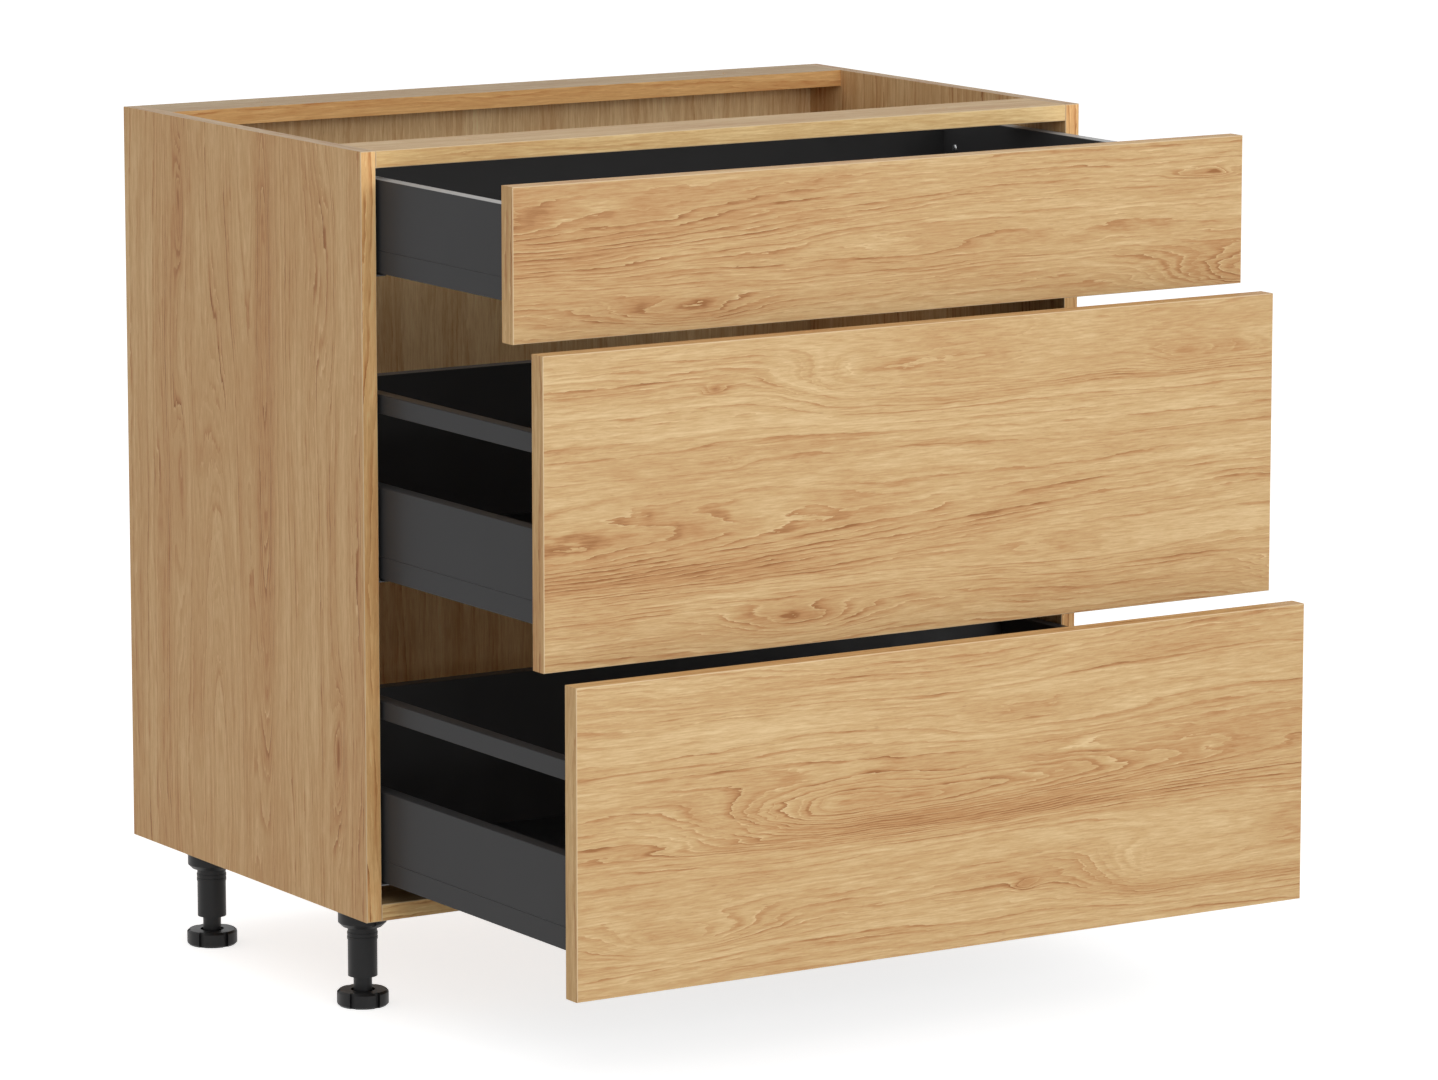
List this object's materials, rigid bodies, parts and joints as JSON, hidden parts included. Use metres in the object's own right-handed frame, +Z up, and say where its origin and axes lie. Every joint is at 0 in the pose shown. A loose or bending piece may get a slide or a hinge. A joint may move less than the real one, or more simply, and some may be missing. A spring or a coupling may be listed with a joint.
{
  "type": "kitchen drawer base cabinet",
  "caption": "Oak-faced kitchen base cabinet on adjustable legs, with slab-fronted drawers on concealed full-extension runners, dark metal drawer sides and gallery rails.",
  "frame": {"origin": "centre of the overall box at floor level, with the drawers as far open as they are pictured", "axes": "+X towards the right-hand side panel as seen from the front, +Y from the drawer fronts towards the back and the wall, +Z up"},
  "size_m": [0.8, 0.846, 0.82],
  "materials": {
    "oak_front": "satin oak decor",
    "oak_carcass": "satin oak decor",
    "dark_board": "matt",
    "dark_metal": "satin powder coat",
    "zinc_steel": "zinc plated",
    "dowel_wood": "plain",
    "leg_plastic": "moulded"
  },
  "bodies": {
    "cabinet": {"side_panel_left": "oak_carcass", "side_panel_right": "oak_carcass", "bottom_panel": "oak_carcass", "front_top_rail": "oak_carcass", "rear_top_rail": "oak_carcass", "back_panel": "oak_carcass", "carcass_dowels": "dowel_wood", "carcass_screws": "zinc_steel", "leg_socket_front_left": "leg_plastic", "leg_tube_front_left": "leg_plastic", "leg_socket_front_right": "leg_plastic", "leg_tube_front_right": "leg_plastic", "leg_socket_back_left": "leg_plastic", "leg_tube_back_left": "leg_plastic", "leg_socket_back_right": "leg_plastic", "leg_tube_back_right": "leg_plastic", "runner_rail_upper_left": "zinc_steel", "runner_rail_upper_right": "zinc_steel", "runner_rail_middle_left": "zinc_steel", "runner_rail_middle_right": "zinc_steel", "runner_rail_lower_left": "zinc_steel", "runner_rail_lower_right": "zinc_steel"},
    "foot_front_left": {"leg_foot_front_left": "leg_plastic"},
    "foot_front_right": {"leg_foot_front_right": "leg_plastic"},
    "foot_back_left": {"leg_foot_back_left": "leg_plastic"},
    "foot_back_right": {"leg_foot_back_right": "leg_plastic"},
    "slides_upper": {"slide_members_upper": "zinc_steel"},
    "slides_middle": {"slide_members_middle": "zinc_steel"},
    "slides_lower": {"slide_members_lower": "zinc_steel"},
    "drawer_upper": {"front_panel_upper": "oak_front", "drawer_floor_upper": "dark_board", "drawer_back_upper": "dark_board", "drawer_side_upper_left": "dark_metal", "drawer_side_upper_right": "dark_metal", "drawer_rails_upper": "zinc_steel", "front_fixings_upper": "dark_metal", "drawer_screws_upper": "zinc_steel"},
    "drawer_middle": {"front_panel_middle": "oak_front", "drawer_floor_middle": "dark_board", "drawer_back_middle": "dark_board", "drawer_side_middle_left": "dark_metal", "drawer_side_middle_right": "dark_metal", "drawer_rails_middle": "zinc_steel", "front_fixings_middle": "dark_metal", "drawer_screws_middle": "zinc_steel", "gallery_rail_middle_left": "dark_metal", "gallery_rail_middle_right": "dark_metal", "back_holders_middle": "dark_metal"},
    "drawer_lower": {"front_panel_lower": "oak_front", "drawer_floor_lower": "dark_board", "drawer_back_lower": "dark_board", "drawer_side_lower_left": "dark_metal", "drawer_side_lower_right": "dark_metal", "drawer_rails_lower": "zinc_steel", "front_fixings_lower": "dark_metal", "drawer_screws_lower": "zinc_steel", "gallery_rail_lower_left": "dark_metal", "gallery_rail_lower_right": "dark_metal", "back_holders_lower": "dark_metal"}
  },
  "joints": [
    {"name": "upper_drawer_slide", "type": "slide", "parent": "cabinet", "child": "drawer_upper", "axis": [0, -1, 0], "range_m": [-0.248, 0.182]},
    {"name": "upper_slide_member", "type": "slide", "parent": "cabinet", "child": "slides_upper", "axis": [0, -1, 0], "range_m": [-0.124, 0.091]},
    {"name": "middle_drawer_slide", "type": "slide", "parent": "cabinet", "child": "drawer_middle", "axis": [0, -1, 0], "range_m": [-0.299, 0.131]},
    {"name": "middle_slide_member", "type": "slide", "parent": "cabinet", "child": "slides_middle", "axis": [0, -1, 0], "range_m": [-0.1495, 0.0655]},
    {"name": "lower_drawer_slide", "type": "slide", "parent": "cabinet", "child": "drawer_lower", "axis": [0, -1, 0], "range_m": [-0.354, 0.076]},
    {"name": "lower_slide_member", "type": "slide", "parent": "cabinet", "child": "slides_lower", "axis": [0, -1, 0], "range_m": [-0.177, 0.038]},
    {"name": "front_left_foot_thread", "type": "slide", "parent": "cabinet", "child": "foot_front_left", "axis": [0, 0, 1], "range_m": [-0.02, 0.013]},
    {"name": "front_right_foot_thread", "type": "slide", "parent": "cabinet", "child": "foot_front_right", "axis": [0, 0, 1], "range_m": [-0.02, 0.013]},
    {"name": "back_left_foot_thread", "type": "slide", "parent": "cabinet", "child": "foot_back_left", "axis": [0, 0, 1], "range_m": [-0.02, 0.013]},
    {"name": "back_right_foot_thread", "type": "slide", "parent": "cabinet", "child": "foot_back_right", "axis": [0, 0, 1], "range_m": [-0.02, 0.013]}
  ],
  "couplings": [
    {"joint": "upper_slide_member", "follows": "upper_drawer_slide", "ratio": 0.5},
    {"joint": "middle_slide_member", "follows": "middle_drawer_slide", "ratio": 0.5},
    {"joint": "lower_slide_member", "follows": "lower_drawer_slide", "ratio": 0.5}
  ]
}
